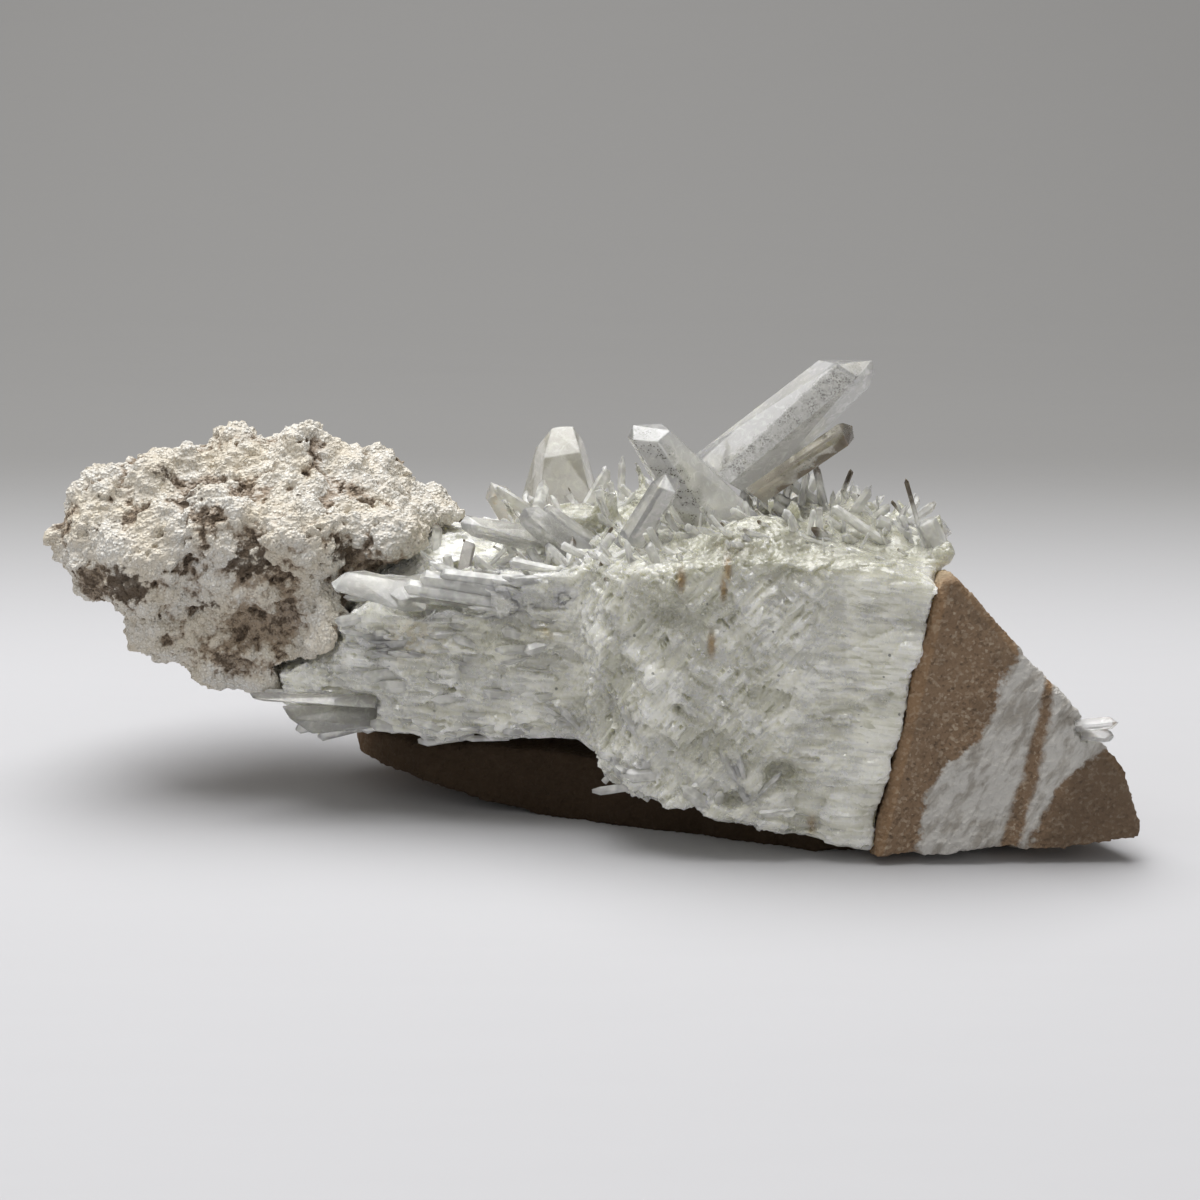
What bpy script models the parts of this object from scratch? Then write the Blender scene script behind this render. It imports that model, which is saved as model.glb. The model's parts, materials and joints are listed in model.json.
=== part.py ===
"""Quartz on albite: a hand-sized mineral specimen, modelled at its real size.

A brown sandstone host rock carries a vein of milky quartz, broken open along its front. Clear quartz
crystals stand on the vein's top, and a lumpy mass of sugary albite has grown on its left end.
Units are metres, +Z is up, +X runs along the specimen and -Y faces the viewer of the broken front.
The origin is in the middle of the flat spot that the specimen rests on.
"""

import math
import random

import bmesh
import bpy
from mathutils import Matrix, Vector

MM = 0.001
ROCK_GAP = 0.5 * MM  # clearance between two rocks that meet, a little less in their hollows
SOCKET_GAP = 0.4 * MM  # a crystal's socket is wider than the crystal by this all round
TIP_TILT = math.radians(51.8)  # between a quartz crystal's long axis and the normal of a tip face

# Host rock. Outlines are (x, z) seen from the front or (x, y) seen from above, in millimetres.
FRONT_Y = -38  # the broken front face
WEDGE_FRONT = [
    (49, -4), (62, 1.2), (74, 2.8), (84, 2.4), (91, 3.6), (98.4, 5.2), (97, 12.5), (94, 20.5),
    (88.4, 27.3), (81.7, 33.7), (75.2, 41.4), (70.4, 47), (66, 52.5), (61.4, 54), (59, 44), (55, 27),
    (51, 10),
]  # fmt: skip
WEDGE_PLAN = [(40, -38), (99, -38), (98, -31), (91, -18), (83, -5), (77, 8), (71, 20), (62, 29), (40, 30)]
BASE_PLAN = [
    (78, -30), (88, -22), (82, -5), (76, 6), (70, 20), (58, 29), (20, 30), (-27, 28),
    (-48, 22), (-46, 4), (-36, -4), (-8, -10), (18, -20), (40, -29),
]  # fmt: skip
BASE_TOP = 13
BACK_WALL_PLAN = [(67, 22), (58, 30), (20, 32), (-10, 29), (-14, 20), (20, 15), (67, 6)]
BACK_WALL_TOP = 51
BASE_DEPTH = -3  # the rock is roughened down to here, then cut flat at the resting level

# Milky quartz vein.
VEIN_FRONT = [
    (-62, 21), (-57, 17), (-48, 16.6), (-37, 16), (-19, 16.8), (-2, 17.5), (1.5, 14.5), (4, 11.5),
    (12, 9), (23, 7.6), (31, 5), (43, 3), (51, 1.5), (53, 10), (57, 27), (61, 44), (62.5, 51),
    (56, 55), (44, 58), (25, 57.5), (11, 56), (0, 54), (-8, 51), (-18, 49), (-30, 48.5), (-40, 45),
    (-46, 41), (-50, 33), (-61, 28),
]  # fmt: skip
VEIN_PLAN = [
    (-62, -6), (-50, -11), (-42, -12.5), (-30, -16), (-14, -19), (-3, -21), (-1, -27), (4, -31), (12, -34.5),
    (30, -36.4), (52, -37), (70, -37), (72, 4), (62, 23), (40, 30), (10, 33), (-15, 35), (-40, 36), (-56, 28),
]  # fmt: skip
GLASSY_BOSS = [(29, -25, 55, 13, 8, 8), (20, -22, 53, 9, 8, 6)]  # x, y, z and the three half sizes
TOP_KNOLLS = [
    (44, -12, 53, 12, 11, 8), (54, -22, 51, 8, 9, 6), (36, 6, 52, 14, 10, 7), (56, 2, 49, 9, 12, 6),
    (4, -16, 50, 10, 8, 7), (-6, 8, 50, 13, 12, 7), (14, 14, 53, 13, 12, 7), (-26, 14, 46, 10, 12, 6),
]  # fmt: skip

# Albite mass: (x, y, z, half sizes along x, y and z), the large lumps first.
ALBITE_LUMPS = [
    (-66, 17, 46, 30, 24, 19), (-82, 14, 47, 18, 20, 15), (-50, 18, 50, 17, 20, 13),
    (-62, 12, 36, 17, 17, 14), (-85.5, 2, 45.5, 11.5, 9.5, 10.5), (-81, 4, 34.5, 10.5, 9, 8),
    (-71, 3, 29.5, 10, 9, 7.5), (-62, 2, 28, 9, 8, 7.5), (-51.5, -3.5, 33.5, 5, 6, 9),
    (-57, 0, 52, 10, 9, 8), (-73, 2, 54, 10, 9, 8), (-41, 5, 51, 8, 9, 6.5),
    (-70.5, 20, 65, 6.5, 7, 5), (-58.5, 19, 64.5, 7, 8, 5), (-78.5, 19, 61.5, 6, 7, 5),
    (-49, 22, 61, 6, 8, 4.5), (-42.3, 24, 60.5, 5.2, 7, 4.6), (-87, 16, 59.5, 8, 9, 6.5),
    (-94.5, 14, 57, 7, 8, 7), (-98.5, 10, 50.5, 6.5, 9, 8.5), (-96, 6, 44, 6, 7, 7),
    (-35, 20, 52, 5.5, 8, 5.5), (-31, 20, 48.5, 4.5, 7, 5), (-94, 20, 44, 8, 12, 8),
    (-80, 34, 46, 13, 10, 11), (-62, 38, 48, 14, 9, 13), (-46, 34, 46, 12, 9, 11),
]  # fmt: skip
ALBITE_KNOBS = 70  # small knobs over the lumps
ALBITE_SEED = 5

# Crystals with a node of their own, as (foot, tip, six side distances, six tip set-backs, roll in degrees).
# The foot is the end inside the rock. Crystals of one group pass through each other.
CRYSTAL_GROUPS = {
    "main_crystal_pair": [
        ((17, 8, 52.5), (51.3, 1, 88.6), (6.4, 5.6, 5.4, 6.2, 5.4, 5.6), (0, 2, 5, 1, 0, 0), 12),
        ((29, 2, 57.5), (47.6, -3, 75), (2.6, 2.7, 2.5, 2.6, 2.7, 2.5), (0, 1, 0, 1.5, 0, 0.6), 4),
    ],
    "leaning_crystal_pair": [
        ((26, -6, 47), (5.4, -10, 78), (5.2, 4.8, 4.5, 5.2, 4.6, 4.6), (1, 0, 3, 0, 1, 0), 20),
        ((-7.6, -15, 44.2), (14.2, -12, 68), (2.4, 2.2, 2.4, 2.4, 2.2, 2.4), (1, 0, 2, 0, 1, 0), 0),
    ],
    "left_crystal_group": [
        ((3, -2, 48.2), (-26.6, -4, 56.8), (2.8, 2.6, 2.9, 2.7, 2.6, 2.8), (0, 1, 0, 0, 1, 0), 15),
        ((2.5, -8, 44.6), (-15, -8, 60.8), (2.6, 2.3, 2.4, 2.6, 2.3, 2.4), (1, 0, 0.5, 0, 1, 0), 10),
        ((8.5, 0, 45.5), (-10.4, 2, 60), (2.9, 2.6, 2.6, 2.9, 2.6, 2.6), (0, 1.5, 0, 0, 1, 0), 25),
    ],
    "back_crystal": [
        ((-4, 29, 44), (-7.6, 27, 72.5), (6.6, 5.0, 5.8, 6.4, 5.0, 5.4), (2, 6, 3, 0, 4, 1), 8),
    ],
    "rusty_crystals": [
        ((-12.5, 23, 42), (-22, 21, 59.5), (2.8, 2.4, 2.6, 2.8, 2.4, 2.6), (0, 1, 2, 0, 1, 0), 30),
        ((-14, 20, 43), (-16, 16, 56), (2.2, 2.4, 2.3, 2.2, 2.4, 2.3), (1, 0, 2, 0, 0, 1), 5),
    ],
    "lying_crystals": [
        ((-27, -11, 41), (-50.8, -15, 48.6), (2.6, 2.3, 2.3, 2.6, 2.2, 2.4), (0, 1, 0, 0, 1, 0), 10),
        ((-11, -13, 43.9), (-41.5, -13, 46.6), (3.3, 3.0, 3.1, 3.3, 3.0, 3.2), (1, 0, 2, 0, 3, 0), 0),
    ],
    "fan_crystal": [
        ((-27, -4, 42), (-24.2, -4, 53.6), (1.2, 4.2, 4.6, 1.2, 4.2, 4.6), (0, 1, 0, 0, 1, 0), 90),
    ],
    "lower_crystal_shards": [
        ((-42.5, -11, 23.2), (-64, -11.6, 24), (1.1, 1.3, 1.2, 1.1, 1.3, 1.2), (0, 1, 0, 0, 1, 0), 20),
        ((-43, -10, 20.8), (-60.5, -10.6, 21.2), (2.3, 2.0, 2.2, 2.3, 2.0, 2.2), (1, 0, 1, 1, 0, 1), 5),
        ((-44, -8, 15.5), (-51, -9.5, 23), (1.8, 1.6, 1.7, 1.8, 1.6, 1.7), (0, 1, 0, 0, 1, 0), 35),
    ],
    "edge_crystals": [
        ((86, -35, 26), (93.8, -37.5, 27.6), (1.3, 1.1, 1.2, 1.3, 1.1, 1.2), (0, 0.8, 0, 0, 0.8, 0), 10),
        ((87, -35, 24.6), (93.2, -36.4, 24.4), (1.2, 1.0, 1.1, 1.2, 1.0, 1.1), (0.6, 0, 0.4, 0.6, 0, 0.4), 30),
    ],
}

# Small crystals fused to the vein that they grew from, as (foot, tip, prism half width).
NEEDLES = [
    ((24.9, -14, 58), (26.2, -13, 67.5), 0.8), ((58.8, -26, 53), (55.0, -24, 69.3), 0.85),
    ((37.4, 0, 56), (39.4, 0, 68), 0.8), ((39.0, -2, 61), (43.9, -2, 70), 0.9),
    ((51.4, -4, 56), (46.6, -4, 67), 0.8), ((50.5, -8, 55), (45.4, -8, 65), 1.2),
    ((45.8, -22, 55.5), (39.6, -22, 63), 1.1), ((53.5, -19, 52), (41.0, -17, 63.2), 1.9),
    ((35.0, -15, 55), (36.0, -14, 65), 1.1), ((31.5, -11, 55), (32.2, -10, 66), 1.0),
    ((54.5, -6, 57), (51.0, -6, 65), 1.0), ((21.0, -17, 56), (17.6, -16, 64.5), 1.2),
    ((10.8, -27, 54), (6.8, -26, 62.5), 1.1), ((18.5, -23, 53), (9.5, -21, 63.5), 1.3),
    ((6.6, -25, 54), (1.4, -24, 62), 1.2), ((2.9, -5, 53), (-0.7, -4, 62.5), 1.4),
    ((0.4, 6, 54), (-0.2, 6, 63.5), 1.3), ((-26.0, -14, 46), (-22.7, -14, 54.8), 0.9),
    ((3.9, 4, 54), (3.0, 4, 62.5), 1.3), ((57, -20, 54), (52.4, -19, 61.5), 1.3),
    ((53.6, 3, 54), (49.8, 2, 60.5), 1.6), ((60, 6, 52), (56.0, 8, 60), 1.7),
    ((62, -8, 53), (63.5, -9, 61), 2.4), ((60, -26, 53), (64.5, -27, 60), 2.6),
    ((26, 10, 56), (22, 12, 66), 2.0), ((10, 20, 55), (6, 24, 64), 1.9), ((-14, 10, 50), (-20, 12, 59), 1.8),
    ((46, 18, 55), (50, 22, 63), 1.8), ((34, 22, 54), (30, 26, 63), 1.6),
]  # fmt: skip


def clear_scene():
    for obj in list(bpy.data.objects):
        bpy.data.objects.remove(obj)


def new_collection(name):
    collection = bpy.data.collections.new(name)
    bpy.context.scene.collection.children.link(collection)
    return collection


def stone_material(name, colour, roughness, transmission=0.0):
    material = bpy.data.materials.new(name)
    material.use_nodes = True
    shader = material.node_tree.nodes["Principled BSDF"]
    shader.inputs["Base Color"].default_value = (*colour, 1)
    shader.inputs["Roughness"].default_value = roughness
    shader.inputs["Metallic"].default_value = 0
    shader.inputs["Transmission Weight"].default_value = transmission
    shader.inputs["IOR"].default_value = 1.544
    return material


def add_mesh(name, bm, collection):
    mesh = bpy.data.meshes.new(name)
    bm.to_mesh(mesh)
    bm.free()
    obj = bpy.data.objects.new(name, mesh)
    collection.objects.link(obj)
    return obj


def bake(obj):
    """Replaces an object's data by what its modifiers and its place make of it, as one welded mesh."""
    bpy.context.view_layer.update()
    graph = bpy.context.evaluated_depsgraph_get()
    mesh = bpy.data.meshes.new_from_object(obj.evaluated_get(graph))
    mesh.transform(obj.matrix_world)
    bm = bmesh.new()
    bm.from_mesh(mesh)
    bmesh.ops.remove_doubles(bm, verts=bm.verts, dist=0.001 * MM)
    collection = obj.users_collection[0]
    name = obj.name
    bpy.data.objects.remove(obj)
    bpy.data.meshes.remove(mesh)
    return add_mesh(name, bm, collection)


def keep_largest(obj):
    """Removes the crumbs that a cut has left beside the main body."""
    bm = bmesh.new()
    bm.from_mesh(obj.data)
    waiting = set(bm.verts)
    bodies = []
    while waiting:
        reached = {waiting.pop()}
        edge = set(reached)
        while edge:
            edge = {e.other_vert(v) for v in edge for e in v.link_edges} - reached
            reached |= edge
        waiting -= reached
        bodies.append(reached)
    largest = max(bodies, key=len)
    bmesh.ops.delete(bm, geom=[v for v in bm.verts if v not in largest], context="VERTS")
    bm.to_mesh(obj.data)
    bm.free()
    return obj


def combine(obj, other, operation):
    """One Boolean step. The other object is used up."""
    step = obj.modifiers.new(operation.lower(), "BOOLEAN")
    step.operation = operation
    step.solver = "EXACT"
    step.object = other
    obj = bake(obj)
    bpy.data.objects.remove(other)
    return obj


def grown(obj, amount):
    """A copy whose surface stands out by this much, to cut room for the piece."""
    copy = obj.copy()
    copy.data = obj.data.copy()
    copy.name = obj.name + "_cutter"
    cutters.objects.link(copy)
    for collection in list(copy.users_collection):
        if collection is not cutters:
            collection.objects.unlink(copy)
    swell = copy.modifiers.new("swell", "DISPLACE")
    swell.strength = amount
    swell.mid_level = 0
    return bake(copy)


def slab(name, outline, low, high, along):
    """A flat outline thickened from low to high, upwards for a plan or along Y for a front view."""
    curve = bpy.data.curves.new(name, "CURVE")
    curve.dimensions = "2D"
    curve.fill_mode = "BOTH"
    curve.extrude = (high - low) / 2 * MM
    spline = curve.splines.new("POLY")
    spline.points.add(len(outline) - 1)
    for point, (across, up) in zip(spline.points, outline):
        point.co = (across * MM, up * MM, 0, 1)
    spline.use_cyclic_u = True
    obj = bpy.data.objects.new(name, curve)
    cutters.objects.link(obj)
    middle = (low + high) / 2 * MM
    if along == "Y":
        obj.rotation_euler.x = math.radians(90)
        obj.location.y = middle
    else:
        obj.location.z = middle
    return bake(obj)


def lumps(name, ellipsoids, detail=3):
    """Overlapping ellipsoids in one object, which a remesh fuses."""
    bm = bmesh.new()
    for x, y, z, *half_sizes in ellipsoids:
        place = Matrix.Translation(Vector((x, y, z)) * MM) @ Matrix.Diagonal((*half_sizes, 1))
        bmesh.ops.create_icosphere(bm, subdivisions=detail, radius=MM, matrix=place)
    return add_mesh(name, bm, cutters)


def joined(name, objects):
    """The objects' meshes in one object, which a remesh fuses."""
    bm = bmesh.new()
    for obj in objects:
        bm.from_mesh(obj.data)
        bpy.data.objects.remove(obj)
    return add_mesh(name, bm, cutters)


def roughen(obj, voxel, bumps, triangles):
    """Weathers a blocky solid: an even skin, pushed about by each bump, then thinned to few faces."""
    skin = obj.modifiers.new("skin", "REMESH")
    skin.mode = "VOXEL"
    skin.voxel_size = voxel * MM
    for kind, size, depth in bumps:
        texture = bpy.data.textures.new(f"{obj.name}_{kind.lower()}", kind)
        texture.noise_scale = size * MM
        push = obj.modifiers.new(kind.lower(), "DISPLACE")
        push.texture = texture
        push.strength = depth * MM
    obj = bake(obj)
    thin = obj.modifiers.new("thin", "DECIMATE")
    thin.ratio = triangles / (2 * len(obj.data.polygons))
    return keep_largest(bake(obj))


def cut_away(bm, point, normal):
    """Cuts off all that lies beyond a plane, and closes the cut with one face."""
    everything = bm.verts[:] + bm.edges[:] + bm.faces[:]
    bmesh.ops.bisect_plane(
        bm, geom=everything, dist=1e-7, plane_co=point, plane_no=normal, clear_outer=True
    )
    rim = [edge for edge in bm.edges if edge.is_boundary]
    if rim:
        bmesh.ops.holes_fill(bm, edges=rim, sides=0)


def cut_flat(obj, point, normal):
    bm = bmesh.new()
    bm.from_mesh(obj.data)
    cut_away(bm, Vector(point) * MM, Vector(normal))
    bm.to_mesh(obj.data)
    bm.free()
    return obj


def crystal(name, foot, tip, sides, tips, roll, spare=0):
    """A quartz crystal in millimetres: a block cut by six prism faces and by six leaning tip faces.

    sides holds the distance of each prism face from the axis. tips says how far each tip face is set
    back from the point: a larger number makes a larger face. spare makes the whole crystal stouter.
    """
    foot, tip = Vector(foot) * MM, Vector(tip) * MM
    along = (tip - foot).normalized()
    foot -= along * spare
    length = (tip - foot).length + spare
    width = 4 * max(sides) * MM
    bm = bmesh.new()
    block = Matrix.Translation((0, 0, length / 2)) @ Matrix.Diagonal((width, width, length, 1))
    bmesh.ops.create_cube(bm, size=1, matrix=block)
    for turn, (side, set_back) in enumerate(zip(sides, tips)):
        angle = math.radians(60 * turn)
        outward = Vector((math.cos(angle), math.sin(angle), 0))
        leaning = outward * math.sin(TIP_TILT) + Vector((0, 0, math.cos(TIP_TILT)))
        cut_away(bm, outward * (side * MM + spare), outward)
        cut_away(bm, Vector((0, 0, length - set_back * MM)), leaning)
    turned = along.to_track_quat("Z", "Y").to_matrix().to_4x4()
    place = Matrix.Translation(foot) @ turned @ Matrix.Rotation(math.radians(roll), 4, "Z")
    bm.transform(place)
    return add_mesh(name, bm, cutters if spare else specimen)


def make_crystals(name, crystals):
    """The crystals of one group, as one solid."""
    first, *others = [crystal(name, *sizes) for sizes in crystals]
    for other in others:
        first = combine(first, other, "UNION")
    return first


def add_needles(vein):
    for foot, tip, half_width in NEEDLES:
        vein = combine(vein, crystal("needle", foot, tip, (half_width,) * 6, (0,) * 6, 0), "UNION")
    return vein


def cut_sockets(rock):
    """Makes room in a rock for the feet of the crystals that stand in it."""
    for crystals in CRYSTAL_GROUPS.values():
        for sizes in crystals:
            rock = combine(rock, crystal("socket", *sizes, spare=SOCKET_GAP), "DIFFERENCE")
    return keep_largest(rock)


def make_sandstone_host():
    """The host rock, and a stouter copy of it that cuts room for it in the vein."""
    wedge = slab("wedge", WEDGE_FRONT, -40, 40, "Y")
    wedge = combine(wedge, slab("wedge_plan", WEDGE_PLAN, -10, 70, "Z"), "INTERSECT")
    base = slab("base", BASE_PLAN, BASE_DEPTH, BASE_TOP, "Z")
    wall = slab("wall", BACK_WALL_PLAN, BASE_DEPTH, BACK_WALL_TOP, "Z")
    rock = joined("sandstone_host", [wedge, base, wall])
    rock = roughen(rock, 1.6, [("CLOUDS", 14, 2.4), ("VORONOI", 7, 1.0)], 1500)
    room = grown(rock, ROCK_GAP)
    # The front face broke flat, and the lower edges are worn back from the resting level.
    cut_flat(rock, (0, FRONT_Y, 0), (0.02, -1, 0.03))
    cut_flat(rock, (60, -26, 0), (0.02, -0.2, -1))
    cut_flat(rock, (-14, 0, 0), (-0.28, -0.1, -1))
    cut_flat(rock, (74, -38, 43.5), (0.75, 0.3, 0.66))
    cut_flat(rock, (0, 0, 0), (0, 0, -1))
    return keep_largest(rock), room


def make_vein():
    body = slab("vein", VEIN_FRONT, -45, 45, "Y")
    body = combine(body, slab("vein_plan", VEIN_PLAN, -5, 75, "Z"), "INTERSECT")
    cut_flat(body, (44, -10, 58), (0.06, 0.15, 1))
    vein = joined("milky_quartz_vein", [body, lumps("knolls", GLASSY_BOSS + TOP_KNOLLS)])
    return roughen(vein, 1.6, [("CLOUDS", 11, 2.2), ("VORONOI", 6, 1.6)], 2500)


def make_albite():
    draw = random.Random(ALBITE_SEED)
    knobs = []
    for _ in range(ALBITE_KNOBS):
        x, y, z, *half_sizes = draw.choice(ALBITE_LUMPS)
        way = Vector((draw.gauss(0, 1), draw.gauss(0, 1), draw.gauss(0, 1))).normalized()
        out = [centre + 0.93 * half * part for centre, half, part in zip((x, y, z), half_sizes, way)]
        size = draw.uniform(1.6, 3.4)
        knobs.append((*out, size, size, size * draw.uniform(0.7, 1.0)))
    mass = lumps("albite_mass", ALBITE_LUMPS + knobs)
    return roughen(mass, 1.4, [("CLOUDS", 6, 1.6), ("VORONOI", 3.2, 0.8)], 2700)


def finish(obj, material):
    """Gives a finished node its material and flat-shaded faces."""
    obj.data.materials.clear()
    obj.data.materials.append(material)
    for collection in list(obj.users_collection):
        collection.objects.unlink(obj)
    specimen.objects.link(obj)
    obj.data.shade_flat()
    obj.hide_render = False


def make_specimen():
    clear_quartz = stone_material("clear_quartz", (0.93, 0.93, 0.91), 0.06, transmission=0.9)
    milky_quartz = stone_material("milky_quartz", (0.74, 0.75, 0.72), 0.35)
    sandstone = stone_material("sandstone", (0.33, 0.24, 0.17), 0.9)
    albite = stone_material("albite", (0.78, 0.74, 0.66), 0.85)

    host, room = make_sandstone_host()
    vein = make_vein()
    mass = combine(make_albite(), grown(vein, ROCK_GAP), "DIFFERENCE")
    vein = combine(add_needles(vein), room, "DIFFERENCE")

    finish(cut_sockets(host), sandstone)
    finish(cut_sockets(vein), milky_quartz)
    finish(cut_sockets(mass), albite)
    for name, crystals in CRYSTAL_GROUPS.items():
        finish(make_crystals(name, crystals), clear_quartz)


clear_scene()
specimen = new_collection("quartz_on_albite")
cutters = new_collection("cutters")
make_specimen()
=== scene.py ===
"""A quartz on albite specimen, 205 mm long, lying on a pale floor under a soft overhead light."""

import math
import random

import bpy
from mathutils import Euler, Matrix, Vector
from mathutils.bvhtree import BVHTree
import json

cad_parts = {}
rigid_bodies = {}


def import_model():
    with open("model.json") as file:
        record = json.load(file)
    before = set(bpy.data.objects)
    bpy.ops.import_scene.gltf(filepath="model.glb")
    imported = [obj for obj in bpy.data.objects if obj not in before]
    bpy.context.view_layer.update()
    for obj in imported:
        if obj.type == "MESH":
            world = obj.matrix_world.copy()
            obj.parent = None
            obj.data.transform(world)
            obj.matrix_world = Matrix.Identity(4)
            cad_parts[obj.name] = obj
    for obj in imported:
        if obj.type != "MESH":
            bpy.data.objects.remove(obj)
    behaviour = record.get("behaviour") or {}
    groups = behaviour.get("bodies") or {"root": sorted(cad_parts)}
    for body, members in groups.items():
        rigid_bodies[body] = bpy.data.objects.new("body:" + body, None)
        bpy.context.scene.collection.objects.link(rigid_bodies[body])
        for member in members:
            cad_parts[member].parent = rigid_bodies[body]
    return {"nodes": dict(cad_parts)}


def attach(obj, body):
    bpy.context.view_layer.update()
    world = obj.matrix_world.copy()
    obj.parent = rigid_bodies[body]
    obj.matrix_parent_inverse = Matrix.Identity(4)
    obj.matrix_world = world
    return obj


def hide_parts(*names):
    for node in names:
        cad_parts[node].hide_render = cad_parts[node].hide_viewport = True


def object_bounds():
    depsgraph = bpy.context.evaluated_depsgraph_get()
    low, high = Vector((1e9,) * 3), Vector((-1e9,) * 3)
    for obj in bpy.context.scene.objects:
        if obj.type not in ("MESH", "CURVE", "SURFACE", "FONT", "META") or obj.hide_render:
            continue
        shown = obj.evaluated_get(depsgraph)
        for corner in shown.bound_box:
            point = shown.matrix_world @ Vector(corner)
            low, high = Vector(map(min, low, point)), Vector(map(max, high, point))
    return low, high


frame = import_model()
cad_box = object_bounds()

# The camera and the studio
# The specimen is seen from a little above, with a long lens. One wide soft lamp hangs overhead and a little
# behind it, so that the crystals glow and the shadow falls to the front.
MM = 0.001
CAMERA_TILT = math.radians(15)
CAMERA_DISTANCE = 550 * MM
CAMERA_AIM = Vector((0, -18, 45)) * MM
CAMERA_LENS = 89.5
SENSOR = 36

camera_place = CAMERA_AIM + CAMERA_DISTANCE * Vector((0, -math.cos(CAMERA_TILT), math.sin(CAMERA_TILT)))
bpy.ops.object.camera_add(location=camera_place, rotation=(math.radians(90) - CAMERA_TILT, 0, 0))
camera = bpy.context.object
camera.data.lens = CAMERA_LENS
camera.data.sensor_width = SENSOR
bpy.context.scene.camera = camera

LAMP_PLACE = (-0.12, 0.17, 1.0)
LAMP_SIZE = 1.0
LAMP_WATTS = 15
LAMP_AIM = Vector((0, 0, 0.03))
ROOM_COLOUR = (1.0, 0.98, 0.95, 1)
ROOM_LIGHT = 0.39

bpy.ops.object.light_add(type="AREA", location=LAMP_PLACE)
lamp = bpy.context.object
lamp.name = "overhead_lamp"
lamp.data.size = LAMP_SIZE
lamp.data.energy = LAMP_WATTS
lamp.rotation_euler = (LAMP_AIM - Vector(LAMP_PLACE)).to_track_quat("-Z", "Y").to_euler()

world = bpy.data.worlds.new("studio")
bpy.context.scene.world = world
world.use_nodes = True
world.node_tree.nodes["Background"].inputs["Color"].default_value = ROOM_COLOUR
world.node_tree.nodes["Background"].inputs["Strength"].default_value = ROOM_LIGHT
bpy.context.scene.view_settings.view_transform = "Standard"

# The cloth
# A sheet of off-white cloth lies under the specimen and rises behind it in one wide curve. Its colour is
# painted darker towards the back, as painted shade where less light falls on it.
CLOTH_SIZE = 6.0
CLOTH_START = 0.45  # how far behind the specimen it starts to rise
CLOTH_RISE = 2.4
CLOTH_BEND = 0.55
BEND_STEPS = 12
CLOTH_NEAR = (0.545, 0.545, 0.562)
# The far colour is painted shade on the back and the rising wall of the cloth.
CLOTH_FAR_SHADE = (0.235, 0.232, 0.228)


class Value:
    """A node's output, which takes part in sums as a number does."""

    def __init__(self, nodes, socket):
        self.nodes = nodes
        self.socket = socket

    def math(self, operation, *parts):
        return self.nodes.add("ShaderNodeMath", {"operation": operation}, *parts)

    def __add__(self, other):
        return self.math("ADD", self, other)

    def __radd__(self, other):
        return self.math("ADD", other, self)

    def __sub__(self, other):
        return self.math("SUBTRACT", self, other)

    def __rsub__(self, other):
        return self.math("SUBTRACT", other, self)

    def __mul__(self, other):
        return self.math("MULTIPLY", self, other)

    def __rmul__(self, other):
        return self.math("MULTIPLY", other, self)

    def __pow__(self, other):
        return self.math("POWER", self, other)

    def __abs__(self):
        return self.math("ABSOLUTE", self)

    def rise(self, low, high):
        """0 up to low, 1 from high on, and a smooth rise between. It falls where high is less than low."""
        settings = {"interpolation_type": "SMOOTHSTEP", "clamp": True}
        return self.nodes.add("ShaderNodeMapRange", settings, self, low, high, 0.0, 1.0)

    def other(self, output):
        """Another output of the node that this one comes from."""
        return Value(self.nodes, self.socket.node.outputs[output])

    def most(self, other):
        """The greater of the two."""
        return self.math("MAXIMUM", self, other)


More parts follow.
